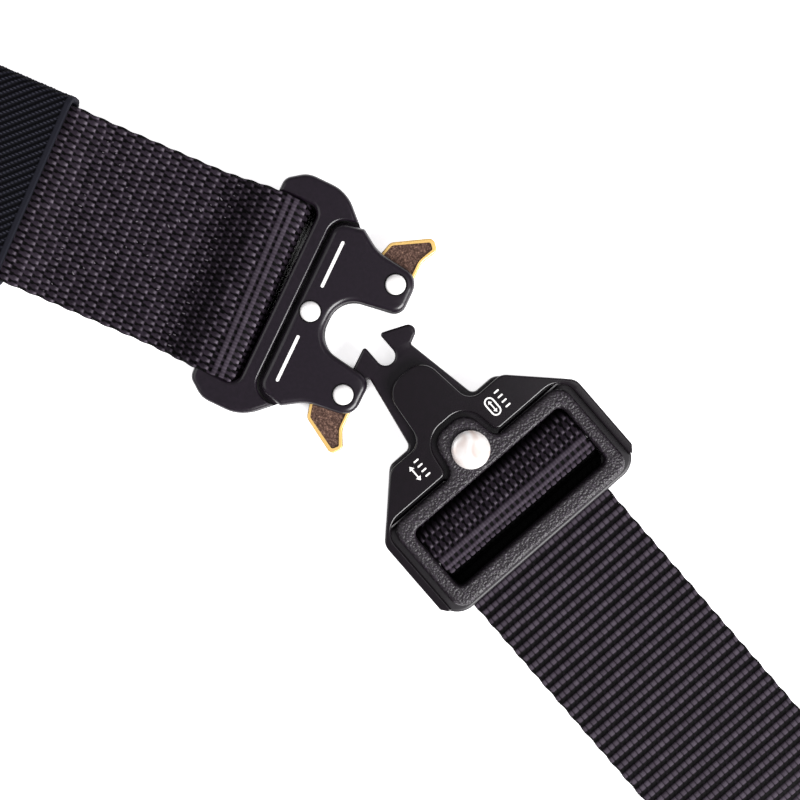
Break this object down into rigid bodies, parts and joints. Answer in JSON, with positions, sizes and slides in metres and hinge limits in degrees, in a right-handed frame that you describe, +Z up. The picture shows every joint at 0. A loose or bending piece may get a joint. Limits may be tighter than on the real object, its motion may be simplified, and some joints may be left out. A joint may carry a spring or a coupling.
{
  "type": "tactical belt",
  "caption": "Black webbing belt with a forked metal quick-release buckle: barbed tongue with strap adjuster on one end, socket with brass release levers on the other.",
  "frame": {"origin": "centre of the belt's outline on the surface that it lies on", "axes": "+X to the wearer's right along the belt's long side, +Y from the buckle to the back of the loop, +Z up from the surface"},
  "size_m": [0.4331, 0.2094, 0.0384],
  "materials": {
    "nylon_webbing": "coarse plain weave",
    "twill_band": "fine diagonal twill",
    "satin_black_metal": "satin",
    "gloss_black_metal": "semi-gloss",
    "wrinkle_black_metal": "wrinkle coat",
    "brass": "aged, bright at the rim",
    "polished_steel": "polished"
  },
  "bodies": {
    "belt": {"belt_webbing": "nylon_webbing", "keeper_band": "twill_band", "socket_frame": "satin_black_metal", "socket_cover": "satin_black_metal", "rivet_centre": "polished_steel", "rivet_ear_upper": "polished_steel", "rivet_ear_lower": "polished_steel", "tongue": "satin_black_metal", "yoke_plate": "gloss_black_metal", "adjuster_frame": "wrinkle_black_metal", "tongue_rivet": "polished_steel", "slide_bar": "gloss_black_metal"},
    "upper_lever": {"lever_upper": "brass"},
    "lower_lever": {"lever_lower": "brass"}
  },
  "joints": [
    {"name": "lever_upper_hinge", "type": "hinge", "parent": "belt", "child": "upper_lever", "pos_m": [0.01297, -0.09292, 0.0043], "axis": [0, 0, 1], "range_deg": [-12, 0], "stiffness_Nm_per_rad": 0.05, "springref_deg": 8.59},
    {"name": "lever_lower_hinge", "type": "hinge", "parent": "belt", "child": "lower_lever", "pos_m": [0.00798, -0.06904, 0.0043], "axis": [0, 0, 1], "range_deg": [0, 12], "stiffness_Nm_per_rad": 0.05, "springref_deg": -8.59}
  ]
}
